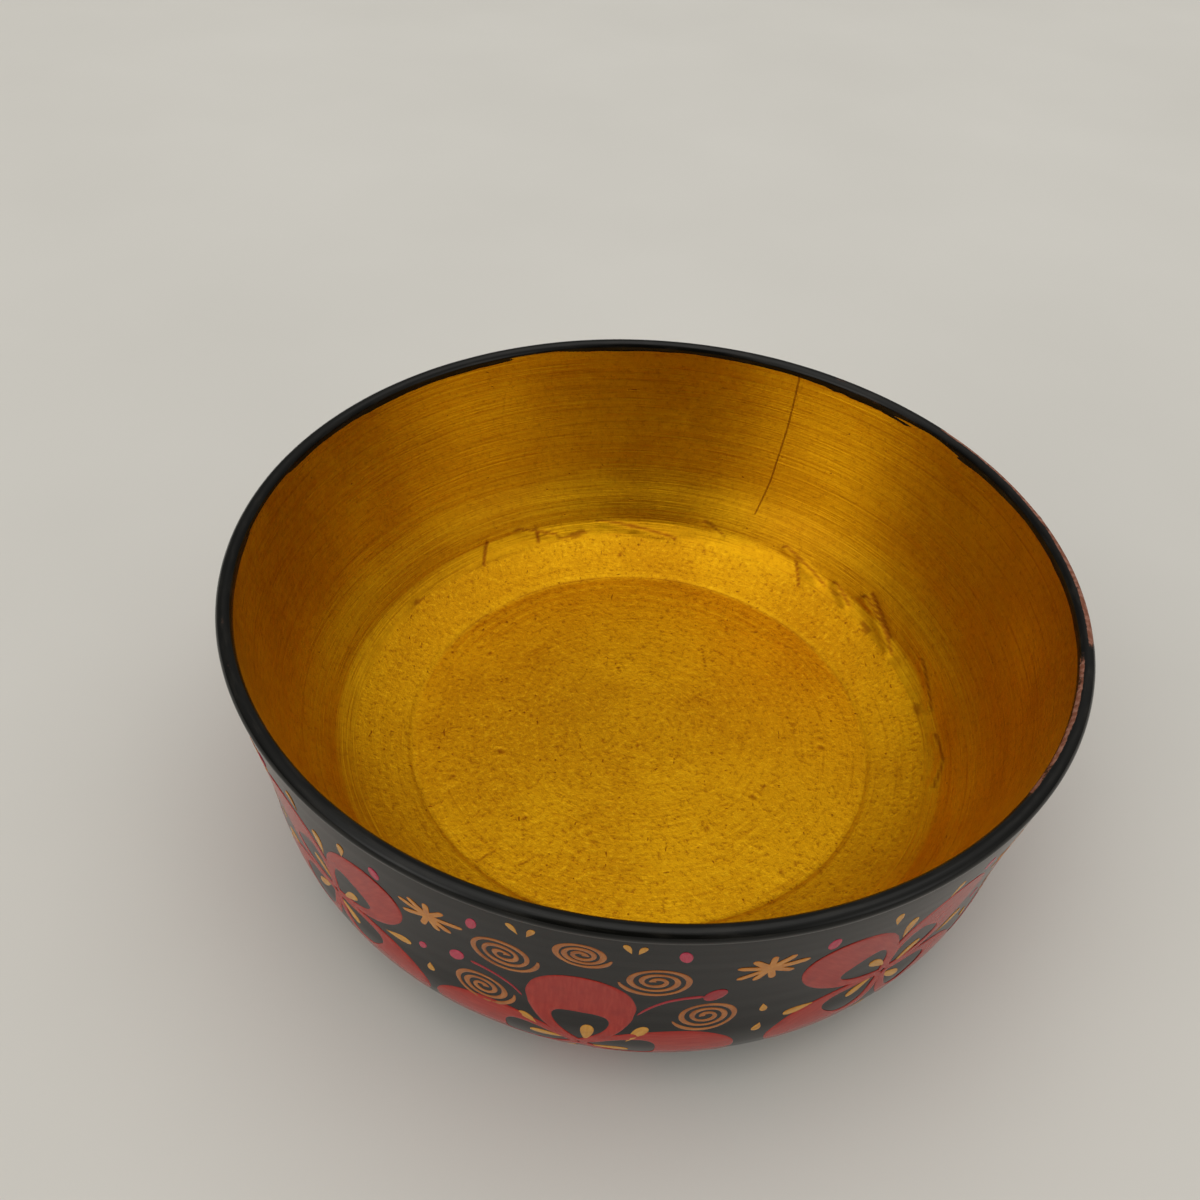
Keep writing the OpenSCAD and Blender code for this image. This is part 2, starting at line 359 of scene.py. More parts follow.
def shell(track, top, depth, az, relief, back_rows, closed):
    """Rings of a film: its face along `top` with relief (mm), then its back at `depth`."""
    along = np.asarray(top, float)
    grid_s, grid_az = np.meshgrid(along, az, indexing="ij")
    r, z, nr, nz = track.at(grid_s)
    lift = relief(grid_az, grid_s, r)
    face_r, face_z = r + lift * nr, z + lift * nz
    back = np.interp(np.linspace(0, 1, back_rows), np.linspace(0, 1, len(along)), along[::-1])
    br, bz, bnr, bnz = track.at(back)
    ones = np.ones(len(az))
    back_r = np.maximum(br - depth * bnr, 0)[:, None] * ones
    back_z = (bz - depth * bnz)[:, None] * ones
    if not closed:      # the rows on the axis
        face_r = np.where(r < 1e-6, 0, face_r)
        back_r = np.where(br[:, None] < 1e-6, 0, back_r)
    rr, zz = np.vstack([face_r, back_r]), np.vstack([face_z, back_z])
    points, faces = spin(rr, zz, np.tile(az, (len(rr), 1)), True)
    arc = np.vstack([grid_s, back[:, None] * ones]).ravel()
    return points, faces, arc


# ---------------------------------------------------------------- materials

class Paint(Nodes):
    """A material, with coordinates that suit a turned bowl."""

    def __init__(self, name, **constants):
        self.mat = bpy.data.materials.new(name)
        self.mat.use_nodes = True
        super().__init__(self.mat.node_tree)
        self.bsdf = self.tree.nodes["Principled BSDF"]
        for key, value in constants.items():
            self.feed(self.bsdf.inputs[key.replace("_", " ")], value)
        self.place = self.vector("SCALE", self.node("TexCoord").outputs["Object"])
        self.place.node.inputs["Scale"].default_value = 1 / MM

    def set(self, name, value):
        self.feed(self.bsdf.inputs[name], value)

    def value(self, name):
        return self.node("Attribute", attribute_name=name).outputs["Fac"]

    def turned(self, around, along):
        """Coordinates round the axis: `around` cells per radian or so, `along` cells per mm."""
        flat = self.vector("NORMALIZE", self.vector("MULTIPLY", self.place, (1, 1, 0)))
        x, y, _ = self.split(flat)
        return self.join(self.calc("MULTIPLY", x, around), self.calc("MULTIPLY", y, around),
                         self.calc("MULTIPLY", self.value("arc"), along))

    def pits(self, per_mm, stretch, size, share):
        """Small scattered marks: 1 in a mark. `share` of the cells stay clean."""
        warp = self.node("TexNoise", {"Vector": self.place, "Scale": 0.6}).outputs["Color"]
        turned = self.vector("ADD", self.vector("MULTIPLY", self.place, stretch), warp)
        cell = self.node("TexVoronoi", {"Vector": turned, "Scale": per_mm}).outputs
        some = self.ramp(self.split(cell["Color"])[0], share, min(share + 0.05, 1.0))
        return self.calc("MULTIPLY", self.ramp(cell["Distance"], 0.4 * size, size, 1.0, 0.0), some)

    def bump(self, height, size, below=None):
        """`size` is the height of the relief in millimetres."""
        sockets = {"Height": height, "Distance": size * MM, "Strength": 1.0}
        if below is not None:
            sockets["Normal"] = below
        return self.node("Bump", sockets).outputs[0]


GOLD_LIGHT = (0.66, 0.335, 0.004)
GOLD_DEEP = (0.56, 0.262, 0.003)
GOLD_STREAK = (0.43, 0.172, 0.002)
GOLD_GRAIN = (0.82, 0.47, 0.01)
# The darkest gold: the colour of pits, dark grain and the scratch, and also of the painted shade in
# the knee's creases and gouges and in the floor's dents
GOLD_MARK_AND_SHADE = (0.22, 0.048, 0.002)
WALL_STRETCH, KNEE_STRETCH, FLOOR_STRETCH = 0.75, 0.42, 0.15


def gold_material(name, stretch):
    """`stretch` is how much the turning lines draw reflections out across themselves."""
    p = Paint(name, Metallic=1.0, Roughness=0.42, Coat_Weight=0.02, Coat_Roughness=0.3,
              Anisotropic=stretch, Anisotropic_Rotation=0.25)
    p.set("Tangent", p.node("Tangent", direction_type="RADIAL", axis="Z").outputs[0])
    floor = stretch == FLOOR_STRETCH
    broad = p.noise(p.place, 0.045, 3.0)
    color = p.mix(p.ramp(broad, 0.35, 0.65), GOLD_DEEP, GOLD_LIGHT)
    streak = p.noise(p.turned(2.2, 1.4), 1.0, 4.0, 0.6)
    color = p.mix(p.ramp(streak, 0.52, 0.76, 0.0, 0.6), color, GOLD_STREAK)
    lines = p.noise(p.turned(2.6, 2.3), 1.0, 3.0, 0.65)
    color = p.mix(p.ramp(lines, 0.54, 0.70, 0.0, 0.3 if floor else 0.65), color, GOLD_STREAK)
    grain = p.noise(p.place, 1.1, 5.0, 0.75)
    color = p.mix(p.ramp(grain, 0.51, 0.68, 0.0, 0.6 if floor else 0.35), color, GOLD_MARK_AND_SHADE)
    color = p.mix(p.ramp(grain, 0.36, 0.46, 0.5 if floor else 0.2, 0.0), color, GOLD_GRAIN)
    pit = p.pits(0.42, (1, 1, 1), 0.11, 0.66 if floor else 0.92)
    for dash in ((1.0, 0.14, 1.0), (0.14, 1.0, 1.0), (0.6, 0.35, 1.0)):
        pit = p.calc("MAXIMUM", pit, p.pits(0.7, dash, 0.11, 0.7 if floor else 0.92))
    color = p.mix(p.calc("MULTIPLY", pit, 0.75), color, GOLD_MARK_AND_SHADE)
    # Painted shade from the relief: darker in the knee's creases and gouges, along a line above
    # each ridge and at the floor step. The dents and dashes on the floor are painted darker too.
    marks_and_shade = p.value("marks_and_shade")
    color = p.mix(p.calc("MULTIPLY", p.ramp(marks_and_shade, 0.15, 0.9), 0.85), color, GOLD_MARK_AND_SHADE)
    scratch = p.ramp(p.calc("ABSOLUTE", p.value("scratch")), 0.05, 0.22, 1.0, 0.0)
    color = p.mix(p.calc("MULTIPLY", scratch, 0.55), color, GOLD_MARK_AND_SHADE)
    p.set("Base Color", color)
    p.set("Roughness", p.ramp(p.noise(p.place, 0.5, 3.0), 0.3, 0.7, 0.38, 0.46))
    normal = p.bump(lines, 0.05 if floor else 0.13)
    normal = p.bump(grain, 0.16 if floor else 0.05, normal)
    p.set("Normal", p.bump(p.calc("MAXIMUM", pit, scratch), -0.06, normal))
    return p.mat


def lacquer(name, color, **more):
    """Paint under clear lacquer."""
    return Paint(name, Base_Color=color, Roughness=0.5, Specular_IOR_Level=0.0,
                 Coat_Weight=0.7, Coat_Roughness=0.05, Coat_IOR=1.32, **more)


BLACK = (0.004, 0.004, 0.0034)
BLACK_WORN = (0.012, 0.011, 0.009)
CLAY = (0.20, 0.075, 0.045)
CLAY_PALE = (0.33, 0.16, 0.115)


def black_material():
    p = lacquer("black", BLACK)
    rub = p.noise(p.turned(3.0, 0.5), 1.0, 4.0, 0.6)
    fleck = p.noise(p.place, 1.6, 2.0)
    color = p.mix(p.ramp(rub, 0.45, 0.8), BLACK, BLACK_WORN)
    color = p.mix(p.ramp(fleck, 0.70, 0.80, 0.0, 0.5), color, (0.07, 0.06, 0.05))
    p.set("Base Color", color)
    lines = p.noise(p.turned(2.0, 1.8), 1.0, 3.0, 0.6)
    normal = p.bump(lines, 0.006)
    p.set("Normal", normal)
    p.set("Coat Normal", normal)
    return p.mat


def rim_material():
    p = lacquer("rim", BLACK)
    worn = p.value("worn")
    fine = p.noise(p.place, 1.7, 4.0, 0.65)
    level = p.calc("ADD", worn, p.calc("MULTIPLY", p.calc("SUBTRACT", fine, 0.5), 0.5))
    bare = p.ramp(level, 0.47, 0.56)
    thin = p.ramp(level, 0.30, 0.50)
    scuff = p.noise(p.turned(12.0, 1.2), 1.0, 3.0)
    color = p.mix(p.ramp(scuff, 0.45, 0.75), BLACK, BLACK_WORN)
    color = p.mix(p.calc("MULTIPLY", thin, 0.35), color, (0.09, 0.045, 0.03))
    clay = p.mix(p.ramp(p.noise(p.place, 1.1, 3.0), 0.4, 0.65), CLAY, CLAY_PALE)
    p.set("Base Color", p.mix(bare, color, clay))
    p.set("Roughness", p.ramp(bare, 0.0, 1.0, 0.4, 0.7))
    p.set("Coat Weight", p.ramp(bare, 0.0, 1.0, 0.8, 0.15))
    normal = p.bump(scuff, 0.012)
    p.set("Normal", p.bump(bare, -0.05, normal))
    p.set("Coat Normal", normal)
    return p.mat


def underside_material():
    p = lacquer("underside", (0.02, 0.019, 0.017))
    p.set("Coat Weight", 0.35)
    p.set("Coat Roughness", 0.2)
    rings = p.noise(p.turned(1.2, 0.9), 1.0, 4.0, 0.65)
    scuff = p.noise(p.place, 0.35, 5.0, 0.7)
    color = p.mix(p.ramp(rings, 0.4, 0.8), (0.026, 0.024, 0.021), (0.070, 0.058, 0.045))
    color = p.mix(p.ramp(scuff, 0.58, 0.75, 0.0, 0.6), color, (0.16, 0.12, 0.08))
    p.set("Base Color", color)
    p.set("Roughness", p.ramp(scuff, 0.4, 0.7, 0.38, 0.6))
    p.set("Normal", p.bump(rings, 0.03))
    return p.mat


def brush_material(name, body, edge, pale):
    """Brush paint: streaks along the stroke, and thinner paint towards its edge."""
    p = lacquer(name, body)
    brush = p.node("Attribute", attribute_name="brush").outputs["Vector"]
    streak = p.noise(p.vector("MULTIPLY", brush, (1.9, 0.22, 3.7)), 1.0, 3.0, 0.6)
    cloud = p.noise(p.place, 0.35, 3.0)
    color = p.mix(p.ramp(streak, 0.35, 0.75, 0.0, 0.8), body, pale)
    color = p.mix(p.ramp(cloud, 0.5, 0.75, 0.0, 0.6), color, edge)
    color = p.mix(p.ramp(p.value("thick"), 0.15, 0.8, 0.75, 0.0), color, edge)
    p.set("Base Color", color)
    p.set("Normal", p.bump(streak, 0.01))
    return p.mat


def wood_material():
    p = Paint("wood", Roughness=0.62, Specular_IOR_Level=0.3)
    bend = p.vector("SCALE", p.noise(p.place, 0.05, 2.0, out="Color"))
    bend.node.inputs["Scale"].default_value = 7.0
    bent = p.vector("ADD", p.place, bend)
    grain = p.noise(p.vector("MULTIPLY", bent, (0.9, 0.06, 0.9)), 1.0, 4.0, 0.6)
    pore = p.noise(p.vector("MULTIPLY", p.place, (3.0, 0.2, 3.0)), 1.0, 2.0)
    color = p.mix(p.ramp(grain, 0.35, 0.65), (0.62, 0.43, 0.24), (0.44, 0.27, 0.13))
    color = p.mix(p.ramp(pore, 0.62, 0.74, 0.0, 0.6), color, (0.20, 0.11, 0.05))
    p.set("Base Color", color)
    p.set("Normal", p.bump(grain, 0.05))
    return p.mat


def clay_material():
    p = Paint("clay", Roughness=0.8, Specular_IOR_Level=0.25)
    cloud = p.noise(p.place, 0.5, 4.0, 0.6)
    p.set("Base Color", p.mix(p.ramp(cloud, 0.35, 0.7), CLAY, CLAY_PALE))
    p.set("Normal", p.bump(p.noise(p.place, 3.0, 3.0), 0.03))
    return p.mat


# ---------------------------------------------------------------- gold inside

# Ridges and gouges in the film by the knee: azimuth and arc below the lip for each of the
# points, then half-width and height (negative for a gouge), in millimetres.
KNEE_MARKS = [
    ([(119.8, 38.3), (111.3, 41.4)], 0.7, 0.10),
    ([(100.5, 39.5), (92.6, 41.0), (83.1, 42.8)], 0.8, 0.11),
    ([(76.1, 37.6), (72.1, 39.7)], 0.7, 0.10),
    ([(127.3, 38.2), (130.6, 42.6)], 0.5, -0.09),
    ([(115.2, 38.6), (115.8, 41.9)], 0.5, -0.08),
    ([(56.9, 37.6), (46.1, 40.8)], 0.9, 0.13),
    ([(53.8, 38.8), (49.9, 43.4)], 0.5, -0.12),
    ([(43.0, 39.0), (37.8, 41.2)], 0.8, 0.12),
    ([(35.2, 37.5), (22.0, 41.6)], 0.9, 0.13),
    ([(34.7, 35.4), (24.6, 39.4)], 0.6, -0.10),
    ([(15.0, 36.9), (4.3, 39.6)], 0.6, 0.08),
    ([(-2.4, 40.0), (-8.8, 39.0), (-14.6, 40.7)], 0.6, 0.08)]
# The long scratch: azimuth and arc below the lip.
SCRATCH = [(64.5, 0.0), (64.5, 12.0), (65.0, 24.0), (66.2, 33.0)]
# Dents in the floor: azimuth, radius from the axis, size.
FLOOR_DENTS = [
    (136.6, 38.2, 0.7), (128.3, 35.4, 0.6), (120.3, 31.9, 0.6), (80.4, 33.0, 0.8),
    (58.0, 33.7, 0.8), (150.2, 34.9, 0.9), (156.0, 41.2, 0.7), (105.8, 15.9, 0.6),
    (170.7, 29.3, 0.5), (179.3, 28.8, 0.6), (-163.2, 26.7, 1.0), (-156.9, 36.4, 0.9),
    (-92.3, 4.5, 0.7), (9.6, 28.9, 0.6), (0.2, 34.4, 0.8), (-3.4, 34.4, 1.0),
    (-35.1, 25.6, 0.9), (-60.8, 25.6, 0.8), (-131.3, 30.0, 0.9), (-111.1, 24.2, 0.6),
    (-50.7, 39.3, 0.9), (96.1, 48.1, 0.8)]
FLOOR_STROKES = [
    ((61.6, 26.0), (52.5, 21.6)), ((160.2, 29.7), (157.2, 27.7)), ((-130.2, 42.2), (-129.3, 38.4)),
    ((-121.4, 37.6), (-119.9, 35.6)), ((-130.3, 30.7), (-125.1, 33.8)),
    ((-35.1, 25.6), (-27.3, 26.1))]


HIP_FILL = 1.3
RIDGE_GAIN = 2.2
KNEE_DEGREE = 54 * math.pi / 180        # millimetres to a degree at the knee
WALL_DEGREE = math.radians(65)          # and on the wall
FAR_OFF = 9
SMALL_DENTS = 70


def flat(az_deg, r):
    return r * math.cos(math.radians(az_deg)), r * math.sin(math.radians(az_deg))


def gold_relief(az, along, r):
    """Height of the gold's face in millimetres, how dark it is painted (painted shade in the knee's
    creases and gouges, above its ridges and at the floor step, and darker dents and dashes on the
    floor), and how far off the scratch is (signed, and 9 where there is none)."""
    s = along - IN_START
    on_floor = step(FLOOR_AT - 1, FLOOR_AT + 1, along)
    centre = step(2, 14, r)
    some = step(0.35, 0.7, patches(4, az, s, 9, 9.0))
    lines = 1.5 + ripples(3, az, s, 14, (0, 2), (1.5, 3.6))
    lift = 0.022 * some * lines * (1 - 0.6 * on_floor) * centre
    lift = lift + 0.022 * ripples(5, az, s, 10, (2, 7), (14, 40)) * centre
    lift = lift + 0.010 * ripples(8, az, s, 12, (9, 26), (5, 14)) * centre * (1 - on_floor)
    # The back is fuller at the hip, and so steeper down to the knee, where it is crumpled.
    creased = step(-0.25, 0.45, np.sin(az + 0.3))
    lift = lift + HIP_FILL * creased * step(5, 29, s) * step(43.2, 32, s)
    near_knee = np.exp(-((s - 41.5) / 2.0) ** 2)
    back = step(-0.5, 0.4, np.sin(az + 0.1))
    crumple = patches(11, az, s, 60, 2.2) - 0.5
    lift = lift + 0.42 * crumple * near_knee * back
    # Painted shade in the hollows of the crumpled knee.
    marks_and_shade = 0.7 * near_knee * back * step(0.08, 0.22, -crumple)
    # Painted shade along the step at the floor's edge, stronger on the back.
    ring = (0.3 + 0.7 * patches(13, az, s, 40, 3.0)) * (0.2 + 0.8 * back)
    marks_and_shade = np.maximum(marks_and_shade, 0.7 * ring * np.exp(-((along - FLOOR_AT) / 0.45) ** 2))
    brushed = step(34, 38, r) * on_floor * step(0.1, 0.6, np.sin(az))
    lift = lift + 0.05 * brushed * ripples(14, az, s, 8, (0, 3), (1.3, 2.4))
    for points, width, height in KNEE_MARKS:
        for a, b in zip(points, points[1:]):
            turn = (np.degrees(az) - a[0] + 180) % 360 - 180
            end = (b[0] - a[0]) * KNEE_DEGREE, b[1]
            gap, t = to_segment(turn * KNEE_DEGREE, s, (0, a[1]), end)
            tall = height * (RIDGE_GAIN if height > 0 else 1)
            lift = lift + tall * np.exp(-(gap / width) ** 2)
            if height < 0:
                # Painted shade in the gouge.
                marks_and_shade = np.maximum(marks_and_shade, 0.9 * np.exp(-(gap / width) ** 2))
            else:
                # Painted shade: a dark line along the upper side of the ridge.
                upper = np.exp(-((gap - 0.9 * width) / 0.5) ** 2)
                line_s = a[1] + t * (b[1] - a[1])
                marks_and_shade = np.maximum(marks_and_shade, 0.8 * upper * step(0.3, -0.3, s - line_s))
    scratch = np.degrees(az) - np.interp(s, *np.array(SCRATCH).T[::-1])
    scratch = np.where(s < SCRATCH[-1][1], scratch * WALL_DEGREE, FAR_OFF)
    scratch = np.clip(scratch, -FAR_OFF, FAR_OFF)
    x, y = r * np.cos(az), r * np.sin(az)
    low = step(IN_START + 40, IN_START + 44, along)
    for az_deg, radius, size in FLOOR_DENTS:
        cx, cy = flat(az_deg, radius)
        gap = np.hypot(x - cx, y - cy)
        lift = lift + low * (0.08 * np.exp(-((gap - size) / 0.5) ** 2)
                             - 0.14 * np.exp(-(gap / (0.7 * size)) ** 2))
        # The dent's middle is painted darker.
        marks_and_shade = np.maximum(marks_and_shade, low * 0.9 * np.exp(-(gap / (0.7 * size)) ** 2))
    for a, b in FLOOR_STROKES:
        gap, _ = to_segment(x, y, flat(*a), flat(*b))
        lift = lift - low * 0.06 * np.exp(-(gap / 0.4) ** 2)
        # The dash is painted darker.
        marks_and_shade = np.maximum(marks_and_shade, low * 0.75 * np.exp(-(gap / 0.3) ** 2))
    rng = np.random.default_rng(21)
    for _ in range(SMALL_DENTS):
        radius, turn = 43 * math.sqrt(rng.random()), rng.uniform(-180, 180)
        size, depth = rng.uniform(0.35, 0.6), rng.uniform(0.02, 0.05)
        cx, cy = flat(turn, radius)
        gap = np.hypot(x - cx, y - cy)
        lift = lift - low * depth * np.exp(-(gap / size) ** 2)
        # Its middle is painted darker.
        marks_and_shade = np.maximum(marks_and_shade, low * rng.uniform(0.1, 0.6) * np.exp(-(gap / size) ** 2))
    return np.clip(lift, -0.15, 1.7), marks_and_shade, scratch


def add_gold():
    az = np.linspace(0, TAU, 480, endpoint=False)
    back_rows = 40          # enough for the back to stay behind the face at the knee
    top = np.concatenate([np.linspace(IN_START, EDGE_AT, 92, endpoint=False),
                          np.linspace(EDGE_AT, FLOOR_AT, 3, endpoint=False),
                          np.linspace(FLOOR_AT, SKIN_END, 60)])
    made = {}

    def relief(grid_az, grid_s, r):
        lift, made["marks_and_shade"], made["scratch"] = gold_relief(grid_az, grid_s, r)
        return lift

    points, faces, arc = shell(SKIN, top, FILM_T, az, relief, back_rows, False)
    on_back = {"marks_and_shade": 0, "scratch": FAR_OFF}
    values = {key: np.append(face.ravel(), np.full(back_rows * len(az), on_back[key]))
              for key, face in made.items()}
    points, faces, values = weld(points, faces, {"arc": arc - IN_START, **values})
    piece = build("gold_inside", points, faces, values, ["gold_interior"],
                  gold_material("gold_wall", WALL_STRETCH), sharp=60)
    piece.data.materials.append(gold_material("gold_knee", KNEE_STRETCH))
    piece.data.materials.append(gold_material("gold_floor", FLOOR_STRETCH))
    for face in piece.data.polygons:
        radius = face.center.xy.length / MM
        face.material_index = int(radius < knee[0] + 2.2) + int(radius < knee[0] - 3)


# ---------------------------------------------------------------- black outside, rim, underside

def add_black():
    az = np.linspace(0, TAU, 480, endpoint=False)
    top = np.linspace(0, OUT_END, 110)

    def relief(grid_az, grid_s, r):
        fade = step(0, 4, grid_s) * step(OUT_END, OUT_END - 3, grid_s)
        return fade * (0.03 * ripples(31, grid_az, grid_s, 9, (2, 6), (22, 60))
                       + 0.007 * ripples(33, grid_az, grid_s, 10, (0, 2), (2.5, 7)))

    points, faces, arc = shell(SKIN, top, FILM_T, az, relief, 30, True)
    build("black_outside", points, faces, {"arc": arc}, ["black_exterior"],
          black_material())


# Worn places of the lip: azimuth from and to, lip angle from and to (0 is the outer side,
# 90 the top and 180 the inner side), and how badly.
WORN = [(-13, 38, 8, 92, 1.06), (-42, -14, 120, 166, 0.86), (-163, -161, 76, 98, 0.8),
        (-154.5, -153, 70, 88, 0.8), (-150, -118, 150, 190, 0.68), (26, 58, 150, 185, 0.45),
        (55, 59, 70, 110, 0.7), (-100, -60, 60, 120, 0.25), (95, 140, 60, 150, 0.2)]


def rim_wear(az, lip):
    """How worn the lip is, about 0.5 where bare ground starts to show."""
    worn = np.zeros_like(az)
    turn = np.degrees(az)
    for a, b, low, high, much in WORN:
        mid, half = (a + b) / 2, (b - a) / 2
        gap = np.abs((turn - mid + 180) % 360 - 180)
        zone = step(half + 3, half - 3, gap) * step(low - 14, low + 8, lip)
        worn = np.maximum(worn, much * (zone * step(high + 14, high - 8, lip)))
    rough = patches(41, az, lip / 40, 150, 1.0, 4)
    return worn * (0.35 + 0.75 * rough)


def add_rim():
    az = np.linspace(0, TAU, 1200, endpoint=False)
    ragged = patches(43, az, 0 * az, 90, 1.0, 4)
    coarse = patches(44, az, 0 * az, 14, 1.0, 2)
    turn = np.degrees(az)
    rough_zone = step(24, 34, turn) * step(64, 54, turn)
    inner = 0.35 + 0.35 * coarse + (0.25 + 0.7 * rough_zone) * ragged
    outer = 0.7
    share = np.linspace(0, 1, 28)
    start = OUT_END - outer
    end = IN_START + inner
    along = start + share[:, None] * (end - start)[None, :]
    grid_az = np.tile(az, (len(share), 1))
    r, z, nr, nz = SKIN.at(along)
    lip = (along - OUT_END) / (IN_START - OUT_END) * 180
    worn = rim_wear(grid_az, lip)
    skin = 0.05 * step(0, 0.3, (along - start)) * step(0, 0.25, end[None, :] - along)
    lift = skin + 0.004 * ripples(47, grid_az, along, 8, (20, 60), (1, 4))
    lift = lift - 0.07 * step(0.42, 0.6, worn)
    lift = lift + 0.012 * ripples(48, grid_az, along, 8, (3, 12), (5, 20))
    back_share = np.linspace(1, 0, 6)
    back = start + back_share[:, None] * (end - start)[None, :]
    br, bz, bnr, bnz = SKIN.at(back)
    rr = np.vstack([r + lift * nr, br - 0.12 * bnr])
    zz = np.vstack([z + lift * nz, bz - 0.12 * bnz])
    points, faces = spin(rr, zz, np.tile(az, (len(rr), 1)), True)
    values = {"arc": np.vstack([along, back]).ravel(),
              "worn": np.vstack([worn, np.zeros_like(back)]).ravel()}
    build("rim_black", points, faces, values, ["rim_band"], rim_material(), sharp=70)


def add_underside():
    az = np.linspace(0, TAU, 360, endpoint=False)
    end = UNDER.length[-1]
    top = np.concatenate([np.linspace(0, end - 2.4, 60), np.linspace(end - 2.2, end, 9)])

    def relief(grid_az, grid_s, r):
        fade = step(end - 1.5, end - 4, grid_s)
        return fade * (0.025 * ripples(51, grid_az, grid_s, 12, (0, 1), (1.6, 5))
                       + 0.02 * ripples(52, grid_az, grid_s, 8, (1, 5), (15, 50))) * step(0, 6, r)

    points, faces, arc = shell(UNDER, top, FILM_T, az, relief, 24, False)
    points, faces, values = weld(points, faces, {"arc": arc})
    build("underside_black", points, faces, values, ["underside_coat"],
          underside_material())


# ---------------------------------------------------------------- brush ornament

# Places on the wall are u to the right and v up from a flower's middle, in millimetres.
AZ_MM = 67.0            # radius that turns u into azimuth
FLOWERS = 10
FRONT_AZ, RIGHT_STEP, LEFT_STEP = -97.0, 38.5, 35.5
PETAL_L, PETAL_W, PETAL_ROOT, SALTIRE = 22.4, 15.4, 0.3, 0.91
EYE_L, EYE_W, EYE_UP = 9.8, 8.2, 1.2
SPIRAL_R, SPIRAL_W, SPIRAL_TURNS = 5.4, 0.85, 3
STAR_R, STAR_RAYS = 5.4, 9
EDGE = 0.22             # how wide the round edge of a brush stroke is
CROSS_DIRS = (90, 0, 180, 270)
SALTIRE_DIRS = (50, 130, 220, 320)
# Spirals: u, v, share of SPIRAL_R, hand.
CROSS_SPIRALS = [(-10.4, 24, 1, 1), (9.7, 23.9, 1, -1), (-14.2, 10.9, 0.95, 1),
                 (17.4, 12.3, 0.95, -1), (-0.1, 30, 0.8, 1)]
SALTIRE_SPIRALS = [(-7.2, -20.5, 0.9, 1), (7.2, -20.5, 0.9, -1)]
# Drops: u, v, direction of the thin end, length, width.
CROSS_DROPS = [(8.1, 5.8, 245, 6.2, 2), (-7.1, 5.1, -50, 5, 1.8), (1.1, 4.4, -93, 6.2, 2),
               (4.4, -1.1, 177, 6, 1.9), (-4.4, 1.1, 3, 6, 1.9), (-1.1, -4.4, 87, 6, 1.9),
               (25.5, 12.7, 100, 2.6, 1.2), (25.6, 6.3, 80, 2.6, 1.5), (-22.9, 9.1, 90, 2.4, 1.3),
               (-8.6, 33.2, -65, 3, 1.1), (-6.4, 33.2, -110, 3, 1), (5.6, 33.8, -70, 2.8, 1),
               (7.2, 33.6, -110, 2.6, 1)]
SALTIRE_DROPS = [(13.2, 1.6, 195, 5.2, 1.9), (-13.4, -1.7, 13, 5.2, 1.9), (3.6, 2.4, 227, 5.6, 1.8),
                 (-2, 3.9, -47, 5.6, 1.8), (-3.4, -1.9, 43, 5.6, 1.8), (2.2, -3, 137, 5.6, 1.8),
                 (0, 13.4, -90, 6.4, 1.8), (0, -13, 90, 6, 1.8), (6.4, 18.6, -100, 4.2, 1.3),
                 (-4, 19.6, -80, 4.2, 1.3)]
# Dots: u, v, tilt, length, width.
CROSS_DOTS = [(-14.3, 30.4, -15, 3.4, 1.5), (-17.7, 17.7, -25, 3.4, 2.1), (12.6, 32.1, 8, 3.4, 1.7),
              (-23.5, 15.1, -20, 2.2, 1.2), (-13, -14, 30, 3, 2), (13, -14, -30, 3, 2)]
SALTIRE_DOTS = [(12.6, 19.2, 0, 3.2, 1.8), (-13.2, 19, 0, 3.2, 1.8), (0, -28, 0, 3, 2)]


def flower_az(k):
    if k == 0:
        return FRONT_AZ
    return FRONT_AZ + RIGHT_STEP + (k - 1) * (360 - RIGHT_STEP - LEFT_STEP) / (FLOWERS - 2)


def flower_s(k):
    return 27.0 if k % 2 else 38.0


def leaf_half(t, width, belly, tip):
    root = tip * belly / (1 - belly)
    t = np.clip(t, 0, 1)
    return width / 2 * (t / belly) ** root * ((1 - t) / (1 - belly)) ** tip


def round_edge(gap):
    """Height share of the paint at a distance from its edge."""
    t = np.clip(gap / EDGE, 0, 1)
    return np.sqrt(1 - (1 - t) ** 2)


